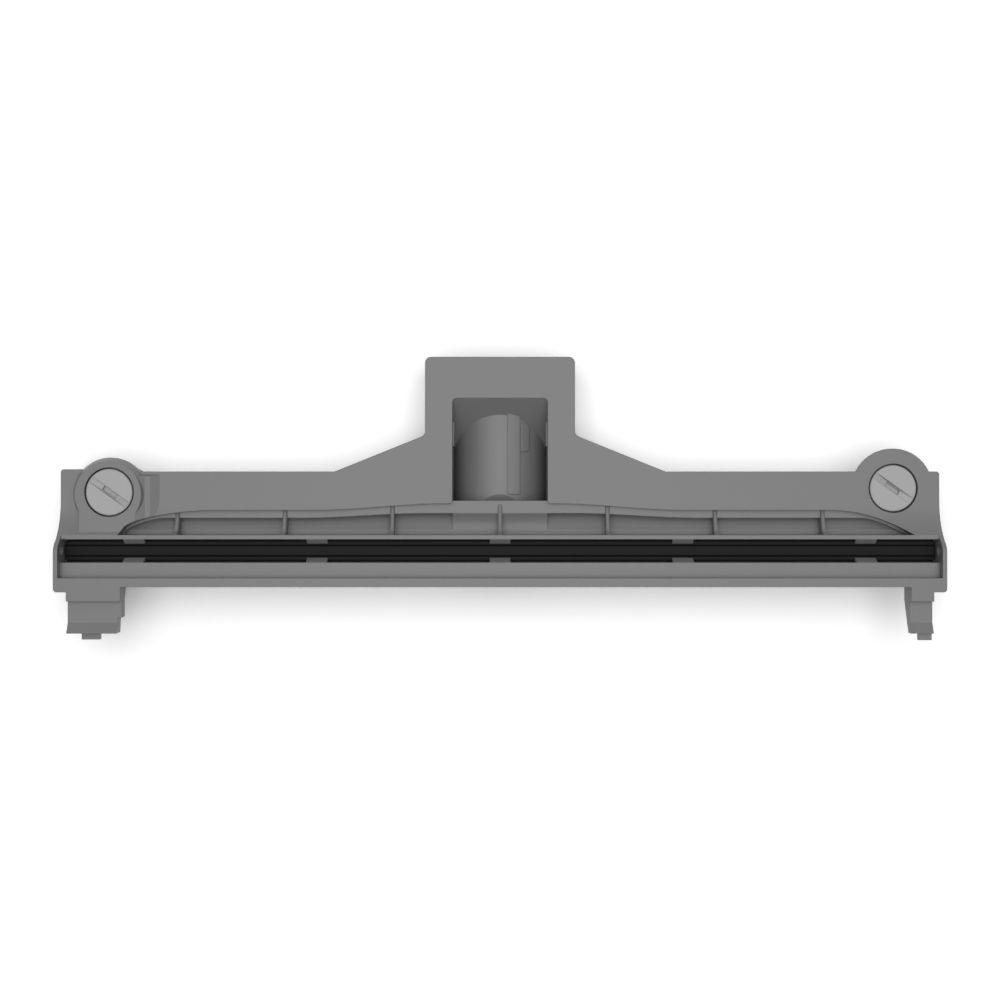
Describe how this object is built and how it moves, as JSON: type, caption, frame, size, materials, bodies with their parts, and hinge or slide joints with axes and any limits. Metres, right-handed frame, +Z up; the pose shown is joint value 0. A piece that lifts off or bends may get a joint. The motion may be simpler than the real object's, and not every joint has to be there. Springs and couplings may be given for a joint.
{
  "type": "vacuum brush roll cover",
  "caption": "Long moulded cover that closes a vacuum head's brush roll housing, with a ribbed air channel, a black strip, coin-slot quarter-turn locks and a half tube for the neck.",
  "frame": {"origin": "middle of the cover's length and width, on the parting plane that the cover lies on", "axes": "+X along the cover to the flush lock, +Y to the neck block, +Z up, out of the side that faces the floor in use"},
  "size_m": [0.3514, 0.1126, 0.0364],
  "materials": {
    "cover_plastic": "fine satin",
    "strip_plastic": "satin",
    "lock_plastic": "fine satin"
  },
  "bodies": {
    "cover": {"cover": "cover_plastic", "sealing_strip": "strip_plastic"},
    "lock_left": {"lock_left": "lock_plastic"},
    "lock_right": {"lock_right": "lock_plastic"}
  },
  "joints": [
    {"name": "lock_left_turn", "type": "hinge", "parent": "cover", "child": "lock_left", "pos_m": [-0.1553, 0.0021, 0.0304], "axis": [0, 0, 1], "range_deg": [0, 90]},
    {"name": "lock_right_turn", "type": "hinge", "parent": "cover", "child": "lock_right", "pos_m": [0.1573, 0.0037, 0.0264], "axis": [0, 0, 1], "range_deg": [0, 90]}
  ]
}
